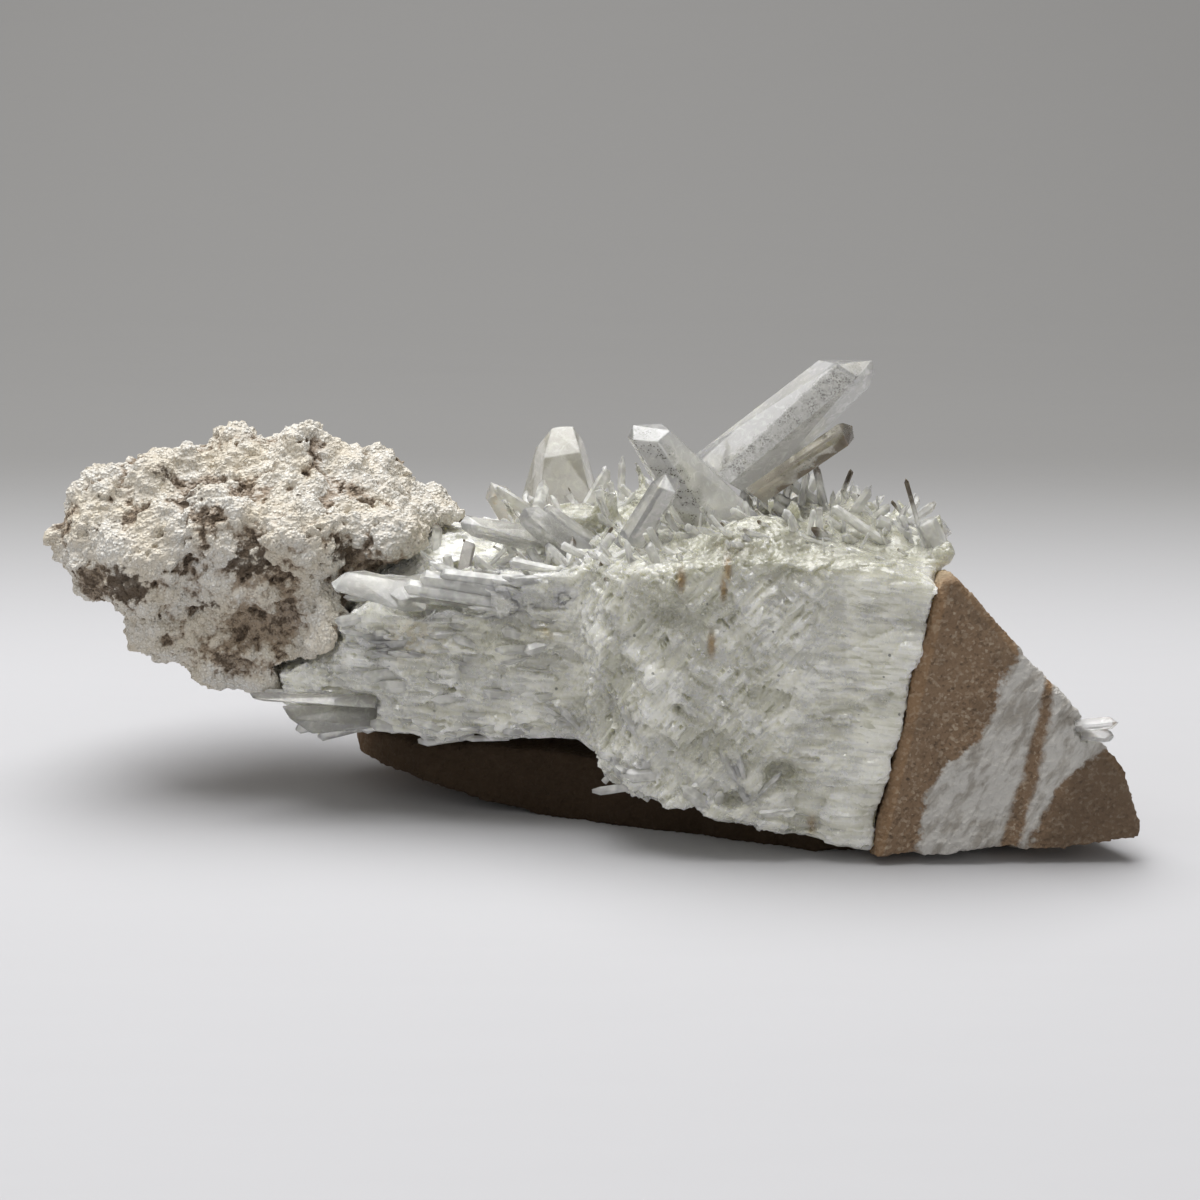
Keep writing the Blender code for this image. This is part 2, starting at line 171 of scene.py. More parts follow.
class Nodes:
    """A node tree, of a material or of a shape, whose nodes all come from add()."""

    def __init__(self, tree):
        self.tree = tree

    def add(self, kind, settings, *values, output=0, **named):
        """One output of a new node, whose inputs are given in their order or by name."""
        node = self.tree.nodes.new(kind)
        for key, value in settings.items():
            if key == "stops":
                self.set_stops(node.color_ramp, value)
            else:
                setattr(node, key, value)
        for key, value in [*enumerate(values), *named.items()]:
            if value is None:
                continue
            socket = node.inputs[key if isinstance(key, int) else key.replace("_", " ")]
            if isinstance(value, Value):
                self.tree.links.new(value.socket, socket)
            else:
                socket.default_value = value
        return Value(self, node.outputs[output]) if len(node.outputs) else None

    def set_stops(self, ramp, stops):
        while len(ramp.elements) < len(stops):
            ramp.elements.new(1)
        for element, (place, colour) in zip(ramp.elements, stops):
            element.position = place
            element.color = (*colour, 1)

    def place(self):
        """The place on the piece, as a vector in millimetres."""
        if self.tree.type == "GEOMETRY":
            metres = self.add("GeometryNodeInputPosition", {})
        else:
            metres = self.add("ShaderNodeTexCoord", {}, output="Object")
        return self.add("ShaderNodeVectorMath", {"operation": "SCALE"}, metres, Scale=1 / MM)

    def parts(self, vector):
        """The x, y and z of a vector."""
        return [self.add("ShaderNodeSeparateXYZ", {}, vector, output=axis) for axis in range(3)]

    def stretch(self, vector, factors):
        return self.add("ShaderNodeVectorMath", {"operation": "MULTIPLY"}, vector, factors)

    def slant(self, vector, degrees, factors):
        """The place as read on a grid turned about the line of sight and stretched, for slanting grain."""
        settings = {"rotation_type": "Y_AXIS"}
        turned = self.add("ShaderNodeVectorRotate", settings, vector, Angle=math.radians(degrees))
        return self.stretch(turned, factors)

    def noise(self, vector, size, detail=3.0, warp=0.0, roughness=0.55):
        """Cloudy noise from 0 to 1, with blotches about this many millimetres wide."""
        look = {"Detail": detail, "Distortion": warp, "Roughness": roughness}
        return self.add("ShaderNodeTexNoise", {}, vector, Scale=1 / size, **look)

    def cells(self, vector, size, output="Distance", feature="F1"):
        """The distance from the nearest of many scattered points, or another output of the cells."""
        return self.add("ShaderNodeTexVoronoi", {"feature": feature}, vector, Scale=1 / size, output=output)

    def spot(self, vector, centre, half_sizes):
        """1 in the middle of an ellipsoid, falling to 0 at its surface."""
        moved = self.add("ShaderNodeVectorMath", {"operation": "SUBTRACT"}, vector, centre)
        inward = self.stretch(moved, [1 / half for half in half_sizes])
        length = self.add("ShaderNodeVectorMath", {"operation": "LENGTH"}, inward, output="Value")
        return length.rise(1.0, 0.0)

    def mix(self, factor, first, second):
        """first where the factor is 0 and second where it is 1. Both are colours."""
        settings = {"data_type": "RGBA"}
        node = self.add("ShaderNodeMix", settings, factor, output=2)
        for index, colour in ((6, first), (7, second)):
            socket = node.socket.node.inputs[index]
            if isinstance(colour, Value):
                self.tree.links.new(colour.socket, socket)
            else:
                socket.default_value = (*colour, 1)
        return node

    def ramp(self, value, *stops):
        return self.add("ShaderNodeValToRGB", {"stops": stops}, value)


def new_material(name):
    """An empty material and its nodes."""
    material = bpy.data.materials.new(name)
    material.use_nodes = True
    material.node_tree.nodes.clear()
    return material, Nodes(material.node_tree)


def surface(nodes, shader):
    nodes.add("ShaderNodeOutputMaterial", {}, shader)


bpy.ops.object.select_all(action="DESELECT")
bpy.ops.mesh.primitive_plane_add(size=CLOTH_SIZE, location=(0, CLOTH_START - CLOTH_SIZE / 2, 0))
cloth = bpy.context.object
cloth.name = "cloth"
bpy.ops.object.mode_set(mode="EDIT")
bpy.ops.mesh.select_all(action="DESELECT")
bpy.ops.object.mode_set(mode="OBJECT")
for edge in cloth.data.edges:
    edge.select = all(cloth.data.vertices[index].co.y > 0 for index in edge.vertices)
bpy.ops.object.mode_set(mode="EDIT")
bpy.ops.mesh.select_mode(type="EDGE")
for step in range(1, BEND_STEPS + 1):
    before, after = [math.radians(90 * s / BEND_STEPS) for s in (step - 1, step)]
    run = CLOTH_BEND * (math.sin(after) - math.sin(before))
    climb = CLOTH_BEND * (math.cos(before) - math.cos(after))
    bpy.ops.mesh.extrude_region_move(TRANSFORM_OT_translate={"value": (0, run, climb)})
bpy.ops.mesh.extrude_region_move(TRANSFORM_OT_translate={"value": (0, 0, CLOTH_RISE)})
bpy.ops.object.mode_set(mode="OBJECT")
bpy.ops.object.transform_apply(location=True)
cloth.data.shade_smooth()

cloth_material, nodes = new_material("cloth")
cloth_place = nodes.place()
cloth_depth = nodes.parts(cloth_place)[1]
# Painted shade: the cloth's colour darkens from the front to the back.
cloth_tone = nodes.mix(cloth_depth.rise(70, 330), CLOTH_NEAR, CLOTH_FAR_SHADE)
wrinkles = nodes.noise(nodes.stretch(cloth_place, (0.35, 1, 1)), 60, detail=3)
cloth_bump = nodes.add("ShaderNodeBump", {}, Height=wrinkles, Strength=0.5, Distance=4 * MM)
surface(nodes, nodes.add("ShaderNodeBsdfPrincipled", {}, cloth_tone, Roughness=0.9, Normal=cloth_bump))
cloth.data.materials.append(cloth_material)


# The albite mass
# Albite grown as thousands of tiny white plates, heaped into rounded lumps. Dust and clay have settled
# between the lumps, so the hollows are brown and the tops are clean.
ALBITE_SKIN = 0.55  # millimetres between the points of the refined skin


def refined_copy(node, name):
    """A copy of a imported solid's mesh, with its loose faces joined, as a new object."""
    copy = bpy.data.objects.new(name, frame["nodes"][node].data.copy())
    bpy.context.collection.objects.link(copy)
    copy.data.materials.clear()
    bpy.ops.object.select_all(action="DESELECT")
    copy.select_set(True)
    bpy.context.view_layer.objects.active = copy
    bpy.ops.object.mode_set(mode="EDIT")
    bpy.ops.mesh.select_all(action="SELECT")
    bpy.ops.mesh.remove_doubles(threshold=0.01 * MM)
    bpy.ops.object.mode_set(mode="OBJECT")
    return copy


def rework(obj, kind, **settings):
    """One modifier, applied."""
    modifier = obj.modifiers.new(kind.lower(), kind)
    for key, value in settings.items():
        setattr(modifier, key, value)
    bpy.context.view_layer.objects.active = obj
    bpy.ops.object.modifier_apply(modifier=modifier.name)


def new_shape(name):
    """An empty geometry node group with its nodes, input and output."""
    group = bpy.data.node_groups.new(name, "GeometryNodeTree")
    group.interface.new_socket("Geometry", in_out="INPUT", socket_type="NodeSocketGeometry")
    group.interface.new_socket("Geometry", in_out="OUTPUT", socket_type="NodeSocketGeometry")
    nodes = Nodes(group)
    return group, nodes, nodes.add("NodeGroupInput", {})


def push_out(obj, formula):
    """Moves each point along its normal by formula(nodes, place) millimetres, kept as "relief"."""
    group, nodes, geometry = new_shape(obj.name + "_relief")
    amount = formula(nodes, nodes.place())
    store = "GeometryNodeStoreNamedAttribute"
    kept = nodes.add(store, {"domain": "POINT"}, geometry, Name="relief", Value=amount)
    normal = nodes.add("GeometryNodeInputNormal", {})
    offset = nodes.add("ShaderNodeVectorMath", {"operation": "SCALE"}, normal, Scale=amount * MM)
    moved = nodes.add("GeometryNodeSetPosition", {}, kept, Offset=offset)
    nodes.add("NodeGroupOutput", {}, moved)
    rework(obj, "NODES", node_group=group)


def finish_piece(obj, material, slot, *replaced):
    """Keeps a finished piece inside the specimen's own box, and gives it its material and its part."""
    for vertex in obj.data.vertices:
        vertex.co = [min(max(part, low), high) for part, low, high in zip(vertex.co, *cad_box)]
    obj.data.materials.clear()
    obj.data.materials.append(material)
    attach(obj, "root")
    if replaced:
        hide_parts(*replaced)


ALBITE_WHITE = (0.90, 0.885, 0.84)
ALBITE_CREAM = (0.83, 0.77, 0.655)
ALBITE_GRIT = (0.50, 0.43, 0.33)
ALBITE_CLAY = (0.28, 0.19, 0.115)
ALBITE_DIRT = (0.10, 0.07, 0.045)
# The middle and the half sizes of patches, in millimetres: brown clay, dark dirt, clean white lumps,
# and the smooth skirt where the albite is compact.
CLAY_PATCHES = [
    ((-66, -6, 38), (13, 10, 13)), ((-41, -3, 48), (9, 8, 5)), ((-60, 4, 57), (16, 12, 6)),
    ((-47, -8, 35), (5, 6, 9)), ((-60, 36, 50), (16, 14, 12)),
]  # fmt: skip
DIRT_PATCHES = [
    ((-84, 5, 64), (9, 10, 4)), ((-76, 3, 60), (5, 9, 4)), ((-95, 3, 53), (8, 11, 5)),
    ((-66, -4, 49.5), (9, 8, 5)), ((-73, -6, 40.5), (7, 7, 3)), ((-56.5, 0, 60), (5, 8, 4)),
    ((-49.5, -3, 50), (5, 7, 4)), ((-89, -5, 44.5), (7, 7, 6)), ((-47, -8, 33), (4, 7, 8)),
    ((-44.5, -8, 25), (4, 6, 4)), ((-70, 32, 58), (10, 9, 6)), ((-86, 30, 46), (8, 9, 6)),
]  # fmt: skip
WHITE_PATCHES = [((-89, -6, 48), (8, 9, 7)), ((-52.5, -8, 34), (4, 6, 11)), ((-80, -2, 55), (6, 8, 4))]
SMOOTH_PATCHES = [((-62, -2, 22), (18, 14, 8)), ((-52.5, -8, 34), (4, 6, 11))]


def patches(nodes, place, spots):
    """1 in the middle of any of the patches."""
    total = nodes.spot(place, *spots[0])
    for spot in spots[1:]:
        total = total.most(nodes.spot(place, *spot))
    return total


def albite_relief(nodes, place):
    moved = nodes.add("ShaderNodeVectorMath", {"operation": "ADD"}, place, (3, 7, 1))
    lumps = nodes.cells(place, 7.5, feature="SMOOTH_F1").rise(0.8, 0.1) * 2.4
    knobs = nodes.cells(moved, 2.3).rise(0.75, 0.05) * 1.0
    sugar = nodes.cells(place, 0.95).rise(0.8, 0.0) * 0.55
    crust = nodes.noise(place, 1.5, detail=4, roughness=0.7) * 0.9
    pits = nodes.noise(moved, 3.4, detail=3).rise(0.44, 0.3) * -1.4
    smooth = patches(nodes, place, SMOOTH_PATCHES)
    rough = lumps + knobs + sugar + crust + pits - 2.6
    return rough * (1 - smooth * 0.75)


albite = refined_copy("albite_mass", "albite_crust")
rework(albite, "REMESH", mode="VOXEL", voxel_size=ALBITE_SKIN * MM)
push_out(albite, albite_relief)
rework(albite, "SMOOTH", factor=0.3, iterations=1)


def albite_finish():
    """White and cream albite, with clay in its hollows and dark dirt in the deepest."""
    material, nodes = new_material("sugary_albite")
    place = nodes.place()
    relief = nodes.add("ShaderNodeAttribute", {"attribute_name": "relief"}, output="Fac")
    hollow = relief.rise(0.2, -1.7)
    grain = nodes.noise(place, 0.8, detail=4, roughness=0.75)
    specks = nodes.noise(place, 1.5, detail=3, roughness=0.7)
    blotch = nodes.noise(place, 9, detail=3)
    clean = nodes.mix(blotch.rise(0.35, 0.65), ALBITE_WHITE, ALBITE_CREAM)
    white = patches(nodes, place, WHITE_PATCHES)
    clay_zone = patches(nodes, place, CLAY_PATCHES)
    dirt_zone = patches(nodes, place, DIRT_PATCHES)
    clay = (hollow * 0.8 + clay_zone * 0.55 + specks * 1.4 - white * 0.5 - 0.78).rise(0.2, 0.65)
    pepper = nodes.cells(place, 1.1).rise(0.3, 0.12) * nodes.noise(place, 5, detail=3).rise(0.4, 0.6)
    dirt = (hollow * 0.7 + dirt_zone * 0.65 + specks * 1.8 - white * 0.4 - 1.12).rise(0.3, 0.6)
    gritty = nodes.mix(nodes.cells(place, 0.75).rise(0.3, 0.6) * 0.4, clean, ALBITE_GRIT)
    tinted = nodes.mix(clay * 0.75, gritty, ALBITE_CLAY)
    colour = nodes.mix(dirt.most(pepper * 0.6) * 0.85, tinted, ALBITE_DIRT)
    crumbs = nodes.cells(place, 0.75).rise(0.7, 0.1)
    bump = nodes.add("ShaderNodeBump", {}, Height=grain * 0.6 + crumbs, Strength=0.8, Distance=0.5 * MM)
    surface(nodes, nodes.add("ShaderNodeBsdfPrincipled", {}, colour, Roughness=0.8, Normal=bump))
    return material


finish_piece(albite, albite_finish(), "albite", "albite_mass")


# The milky quartz vein
# Quartz that filled a crack in the sandstone, milky with tiny fluid bubbles. Its front is broken across
# the grain of the crystals, so it shows ledges, splinters and pits.
VEIN_SKIN = 0.62
FIBRES = (0.16, 0.7, 1)  # the grid's stretch along, into and across the fibres
TOP_LEVEL = 52  # where the top begins, at the middle of the vein
TOP_FALL = 0.12  # how much lower that is for each millimetre to the left or right
MOST_TRIANGLES = 190000
QUARTZ_INDEX = 1.544  # how strongly quartz bends light
VEIN_WHITE = (0.94, 0.93, 0.85)
VEIN_GREY = (0.58, 0.575, 0.465)
VEIN_CLEAR = (0.97, 0.96, 0.90)
VEIN_DEEP = (0.86, 0.855, 0.75)
VEIN_WARM = (0.72, 0.71, 0.58)
SEDIMENT = (0.20, 0.12, 0.06)
VEIN_YELLOW = (0.62, 0.52, 0.30)
RUST = (0.34, 0.22, 0.08)
DARK_INCLUSION = (0.05, 0.055, 0.045)
# Middles and half sizes in millimetres. Rust has run down two cracks of the front. The front has a hollow
# under a curled ridge, some pits, and a zone of thin grey sheets near the sandstone. Silt lies on the top,
# and dark and yellow druse along its front edge.
RUST_STREAKS = [
    ((22.8, -35, 55), (1.4, 12, 5)), ((22.1, -35, 51.5), (1.3, 12, 5)), ((20.0, -35, 41), (1.5, 12, 4.5)),
    ((14.5, -34, 53), (1.6, 12, 4)), ((38.5, -37, 7), (1.8, 8, 4)),
]  # fmt: skip
HOLLOWS = [((0.5, -36, 33), (8, 9, 10)), ((-2, -32, 26), (7, 8, 8))]
RIDGE = [
    ((0.5, -36, 43.5), (4, 8, 2.6)), ((5, -36, 38.8), (5, 8, 2.6)), ((9.5, -36, 34), (3, 8, 4)),
    ((8.8, -36, 28), (3, 8, 4)),
]  # fmt: skip
GLASSY_ZONES = [
    ((10, -36, 50), (15, 9, 9)), ((-18, -20, 38), (18, 14, 10)), ((3, -36, 30), (9, 9, 9)),
    ((20, -36, 22), (10, 8, 7)), ((34, -36, 17), (6, 8, 5)),
]  # fmt: skip
PITS = [
    ((7.6, -37, 25.5), (2.6, 6, 1.8)), ((14, -37, 29), (2.0, 6, 1.4)), ((32.5, -37, 17), (4, 6, 2.6)),
    ((12, -36, 46), (6, 6, 3)), ((24, -37, 12), (3.5, 6, 2)),
]  # fmt: skip
GREY_SHEETS = [((47, -37, 49.5), (9, 8, 5.5)), ((11, -36, 46), (7, 8, 4)), ((26, -36, 33), (6, 8, 2.5))]
SILT_PATCHES = [((28, -2, 58), (14, 12, 9)), ((46, 10, 58), (16, 14, 9)), ((-12, 14, 50), (16, 12, 9))]
DRUSE_BAND = [((22, -33, 58.5), (10, 8, 2.2)), ((4, -28, 55), (9, 8, 2))]
YELLOW_PATCHES = [
    ((-10, -20, 39.5), (3.5, 8, 2.5)), ((22, -33, 58.5), (9, 8, 2.0)), ((-35, -14, 36), (9, 9, 7)),
]  # fmt: skip


def chips(nodes, grid, size):
    """Flat chips, each tilted its own way, as splintered quartz breaks."""
    tone = nodes.cells(grid, size, output="Color")
    inside = nodes.add("ShaderNodeVectorMath", {"operation": "SUBTRACT"}, grid, tone.other("Position"))
    tilt = nodes.add("ShaderNodeVectorMath", {"operation": "SUBTRACT"}, tone, (0.5, 0.5, 0.5))
    slope = nodes.add("ShaderNodeVectorMath", {"operation": "DOT_PRODUCT"}, inside, tilt, output="Value")
    level = nodes.parts(tone)[0]
    return slope * (1.8 / size) + level


def splinters(nodes, place, size):
    """Chips drawn out along the fibres: level on the left and by the sandstone, fanning out in the middle."""
    x, y, z = nodes.parts(place)
    sway = nodes.noise(place, 7, detail=2, warp=0.3)
    level = chips(nodes, nodes.slant(place, -6, FIBRES), size)
    fan = chips(nodes, nodes.slant(place, 52, FIBRES), size * 0.85)
    steep = chips(nodes, nodes.slant(place, -35, FIBRES), size * 0.85)
    beside = (x - z * 0.25).rise(22, 36).most(x.rise(-3, -8))
    zone = sway.rise(0.47, 0.53)
    return beside * level + (1 - beside) * (zone * fan + (1 - zone) * steep)


def vein_relief(nodes, place):
    x, y, z = nodes.parts(place)
    broad = nodes.noise(place, 10, detail=2) * 3.0
    blocks = chips(nodes, nodes.slant(place, 20, (0.5, 1, 1)), 5.5) * 0.45
    fine = nodes.noise(place, 0.9, detail=3, roughness=0.7) * 0.3
    hollow = patches(nodes, place, HOLLOWS) * -5.5 + patches(nodes, place, RIDGE) * 2.2
    pits = patches(nodes, place, PITS) * -2.6
    contact = x.rise(35, 50) * 0.9
    shards = splinters(nodes, place, 1.3) * (0.6 - x.rise(35, 50) * 0.3 - z.rise(53, 57) * 0.3)
    return broad + blocks + shards + fine + hollow + pits + contact - 3.0


def on_top(point):
    """Whether a point of the vein, in metres, is on its top."""
    return point.z > (TOP_LEVEL - TOP_FALL * abs(point.x / MM)) * MM


vein = refined_copy("milky_quartz_vein", "vein_body")
rework(vein, "REMESH", mode="VOXEL", voxel_size=1.0 * MM)
# The small crystals fused to the top are melted back into it. They are set anew below.
top = vein.vertex_groups.new(name="top")
top.add([vertex.index for vertex in vein.data.vertices if on_top(vertex.co)], 1, "ADD")
rework(vein, "SMOOTH", factor=0.8, iterations=12, vertex_group="top")
rework(vein, "REMESH", mode="VOXEL", voxel_size=VEIN_SKIN * MM)
bpy.ops.object.mode_set(mode="EDIT")
bpy.ops.mesh.select_mode(type="VERT")
bpy.ops.mesh.select_all(action="DESELECT")
bpy.ops.object.mode_set(mode="OBJECT")
# Only what hangs together with the lowest point is kept.
min(vein.data.vertices, key=lambda vertex: vertex.co.z).select = True
bpy.ops.object.mode_set(mode="EDIT")
bpy.ops.mesh.select_linked()
bpy.ops.mesh.select_all(action="INVERT")
bpy.ops.mesh.delete(type="VERT")
bpy.ops.object.mode_set(mode="OBJECT")
push_out(vein, vein_relief)
rework(vein, "DECIMATE", ratio=min(1, MOST_TRIANGLES / (2 * len(vein.data.polygons))))


def vein_finish():
    """White milky quartz, mixed with grey where the vein is deep or glassy: clearer quartz, and painted shade
    in its hollows and pits.
    """
    material, nodes = new_material("milky_quartz")
    place = nodes.place()
    x, y, z = nodes.parts(place)
    relief = nodes.add("ShaderNodeAttribute", {"attribute_name": "relief"}, output="Fac")
    cloud = nodes.noise(place, 7, detail=2)
    level = chips(nodes, nodes.slant(place, -6, FIBRES), 0.8)
    fan = chips(nodes, nodes.slant(place, 48, (0.18, 0.7, 1)), 0.75)
    middle = (x - z * 0.25).rise(36, 22) * x.rise(-8, -3)
    small = middle * fan + (1 - middle) * level
    # depth is 1 where the relief sinks in. The grey it adds below is partly clearer quartz and partly painted
    # shade in the recesses.
    depth = relief.rise(0.9, -1.8)
    sheets = patches(nodes, place, GREY_SHEETS)
    lines = nodes.noise(nodes.slant(place, -12, (0.12, 1, 1)), 0.5, detail=2).rise(0.48, 0.6)
    beside = x.rise(38, 50) * 0.25 - x.rise(-2, -14) * 0.15
    top = z.rise(53.5, 57) * (0.3 + cloud)
    grey = (depth * 0.6 + cloud * 0.9 + small * 0.35 + beside + top * 0.2 - 0.78).rise(0.1, 0.8)
    grey = grey + sheets * lines * 0.7
    colour = nodes.mix(grey, VEIN_WHITE, VEIN_GREY)
    zones = patches(nodes, place, GLASSY_ZONES)
    glassy = zones.most(top) - patches(nodes, place, RIDGE)
    colour = nodes.mix(glassy * 0.75, colour, VEIN_WARM)
    # Painted shade: the hollows and pits are painted grey, as if shade fell in them.
    painted_hollow_shade = patches(nodes, place, HOLLOWS + PITS)
    colour = nodes.mix(painted_hollow_shade * 0.5, colour, VEIN_GREY)
    wobble = nodes.noise(place, 1.6, detail=3, roughness=0.7)
    yellow = patches(nodes, place, YELLOW_PATCHES) * wobble.rise(0.4, 0.6)
    colour = nodes.mix(yellow * 0.6, colour, VEIN_YELLOW)
    rust = patches(nodes, place, RUST_STREAKS).rise(0, 1) * wobble.rise(0.25, 0.5)
    colour = nodes.mix(rust * 0.9, colour, RUST)
    silt = (depth + wobble * 1.5 - 1.05).rise(0.1, 0.6) * z.rise(50, 56) * patches(nodes, place, SILT_PATCHES)
    colour = nodes.mix(silt * 0.8, colour, SEDIMENT)
    dashes = nodes.noise(nodes.slant(place, 15, (0.35, 1, 1)), 1.0, detail=2)
    band = patches(nodes, place, DRUSE_BAND) * 0.12 + (z.rise(54, 57) * z.rise(61, 58)) * 0.07
    specks = nodes.cells(place, 3.2).rise(0.11, 0.07)
    dark = (dashes + band).rise(0.735, 0.775).most(specks * cloud.rise(0.5, 0.62))
    colour = nodes.mix(dark * 0.7, colour, DARK_INCLUSION)
    fine = nodes.noise(place, 0.7, detail=2, roughness=0.7)
    bump = nodes.add("ShaderNodeBump", {}, Height=small + fine * 0.6, Strength=0.7, Distance=0.45 * MM)
    shiny = wobble.rise(0.42, 0.6) * 0.25 + 0.08
    milky = nodes.add(
        "ShaderNodeBsdfPrincipled", {}, colour, Roughness=shiny, Normal=bump, Subsurface_Weight=0.9,
        Subsurface_Radius=(1.0, 1.0, 0.85), Subsurface_Scale=2.2 * MM, IOR=QUARTZ_INDEX, Coat_Weight=0.8,
        Coat_Roughness=0.04,
    )  # fmt: skip
    clear = nodes.add(
        "ShaderNodeBsdfPrincipled", {}, nodes.mix(grey, VEIN_CLEAR, VEIN_DEEP), Roughness=shiny, Normal=bump,
        Transmission_Weight=1.0, IOR=QUARTZ_INDEX,
    )  # fmt: skip
    glassy_share = zones * 0.35 + top * 0.5
    milk = (cloud * 1.1 + small * 0.3 - depth * 0.3 - glassy_share).rise(0.25, 0.7) * 0.38 + 0.6
    surface(nodes, nodes.add("ShaderNodeMixShader", {}, milk.most(dark).most(rust).most(silt), clear, milky))
    return material


finish_piece(vein, vein_finish(), "milky_quartz", "milky_quartz_vein")


# The sandstone
# The host rock: brown sand grains cemented together, crossed by thin veinlets of grey quartz. It broke off
# with the quartz that had filled its crack, so it ends in a wedge with one weathered slope.
SANDSTONE_SKIN = 0.6
SAND_BROWN = (0.25, 0.17, 0.108)
SAND_DARK = (0.10, 0.07, 0.048)
SAND_PALE = (0.44, 0.36, 0.27)
SAND_RUST = (0.42, 0.25, 0.12)
SAND_CREAM = (0.55, 0.45, 0.31)
# Painted shade for the underside under the vein.
SAND_PAINTED_SHADE = (0.03, 0.018, 0.009)
VEINLET_GREY = (0.62, 0.61, 0.58)
VEINLET_DULL = (0.38, 0.36, 0.325)
CONTACT_LEAN = 0.213  # how far the joint of vein and sandstone leans to the right, for each millimetre up
# The band of grey quartz across the front of the wedge: where it starts and ends along x, at heights z.
BAND_LEFT = [(0, 57), (6, 58), (17, 61), (25, 69), (37, 74), (50, 78)]
BAND_RIGHT = [(0, 77), (6, 79), (16, 83), (22, 92), (32, 92), (50, 86)]
STREAK_LINE = [(0, 73.5), (6, 75), (16, 77.8), (25, 79.5), (35, 81)]


def edge_line(nodes, height, points):
    """A line through the given points, read at a height. Both are in millimetres, up to 100."""
    return nodes.ramp(height * 0.01, *[(z / 100, (x / 100, x / 100, x / 100)) for z, x in points]) * 100


def veinlet_zone(nodes, place):
    """1 on the quartz veinlets, 0 on the sandstone between them."""
    x, y, z = nodes.parts(place)
    wobble = nodes.noise(place, 5, detail=4, roughness=0.65) * 9 - 4.5
    grit = nodes.noise(place, 1.3, detail=3, roughness=0.7) * 3 - 1.5
    left = (x + wobble + grit - edge_line(nodes, z, BAND_LEFT)).rise(-0.7, 0.7)
    right = (edge_line(nodes, z, BAND_RIGHT) - x + wobble * 0.6 + grit).rise(-0.7, 0.7)
    off_line = abs(x - edge_line(nodes, z, STREAK_LINE) + wobble * 0.25)
    streaks = (off_line + grit * 0.6 + z * 0.03).rise(2.6, 1.2).most((wobble * 0.4 + grit).rise(1.5, 2.6))
    return left * right * (1 - streaks) * y.rise(-22, -28)


def sandstone_relief(nodes, place):
    x, y, z = nodes.parts(place)
    broad = nodes.noise(place, 11, detail=3) * 2.0
    grains = nodes.cells(place, 0.9).rise(0.7, 0.0) * 0.3
    quartz = veinlet_zone(nodes, place)
    rough = nodes.noise(place, 1.6, detail=3, roughness=0.7)
    contact = (x - z * CONTACT_LEAN).rise(56, 51) * 0.7
    chipped = nodes.noise(place, 4.5, detail=4, roughness=0.65) * 1.2
    return broad + chipped + grains + rough * 0.5 + quartz * (rough * 0.9 - 0.1) + contact - 2.2


sandstone = refined_copy("sandstone_host", "sandstone_rock")
rework(sandstone, "REMESH", mode="VOXEL", voxel_size=SANDSTONE_SKIN * MM)
push_out(sandstone, sandstone_relief)
rework(sandstone, "DECIMATE", ratio=min(1, MOST_TRIANGLES / (2 * len(sandstone.data.polygons))))


def sandstone_finish():
    """Brown sand grains, tan and dark zones over them, painted shade on the underside, and grey quartz on the
    veinlets.
    """
    material, nodes = new_material("brown_sandstone")
    place = nodes.place()
    x, y, z = nodes.parts(place)
    grain_tone = nodes.add("ShaderNodeSeparateColor", {}, nodes.cells(place, 0.55, output="Color"))
    soft = nodes.noise(place, 1.1, detail=4, roughness=0.7)
    blotch = nodes.noise(place, 8, detail=3)
    tone = grain_tone * 0.55 + soft * 0.9 - 0.22
    base = nodes.ramp(tone, (0.1, SAND_DARK), (0.36, SAND_BROWN), (0.6, SAND_BROWN), (0.9, SAND_PALE))
    # Weathering has left a thin tan rim along the vein, and tan skin on the upper slope. The tip is darker,
    # and the underside under the vein is painted near black as painted shade.
    contact = (x - z * CONTACT_LEAN - 50.3).rise(1.6, 0.2)
    outwards = x * 0.75 + y * 0.3 + z * 0.66 - 71.5
    slope = outwards.rise(-0.9, 0.6)
    tan = (contact.most(slope) + blotch * 0.5 - 0.2).rise(0.3, 0.9)
    colour = nodes.mix(tan * 0.28, base, SAND_RUST)
    crest = outwards.rise(-4, -1.5) * y.rise(-36, -31) * blotch.rise(0.3, 0.45)
    colour = nodes.mix(crest * (0.25 + blotch * 0.6), colour, SAND_CREAM)
    shade = ((x + blotch * 8 - z * 0.25).rise(83, 87)).most(blotch.rise(0.5, 0.62) * 0.5)
    colour = nodes.mix(shade * 0.6, colour, SAND_DARK)
    # Painted shade: the underside under the vein is darkened to near black, where little light reaches.
    under = (x - z * CONTACT_LEAN).rise(51, 46) * z.rise(30, 20) * y.rise(14, -4)
    colour = nodes.mix(under * 0.95, colour, SAND_PAINTED_SHADE)
    quartz = veinlet_zone(nodes, place)
    cloudy = nodes.noise(nodes.slant(place, 60, (0.35, 1, 1)), 2.2, detail=4, warp=0.4)
    grey = nodes.mix(cloudy.rise(0.42, 0.62), VEINLET_GREY, VEINLET_DULL)
    colour = nodes.mix(quartz * 0.9, colour, grey)
    bump = nodes.add("ShaderNodeBump", {}, Height=nodes.cells(place, 0.55), Strength=0.5, Distance=0.3 * MM)
    rough = quartz * -0.35 + 0.85
    rock = nodes.add(
        "ShaderNodeBsdfPrincipled", {}, colour, Roughness=rough, Normal=bump, Specular_IOR_Level=0.25
    )  # fmt: skip
    surface(nodes, rock)
    return material


finish_piece(sandstone, sandstone_finish(), "sandstone", "sandstone_host")


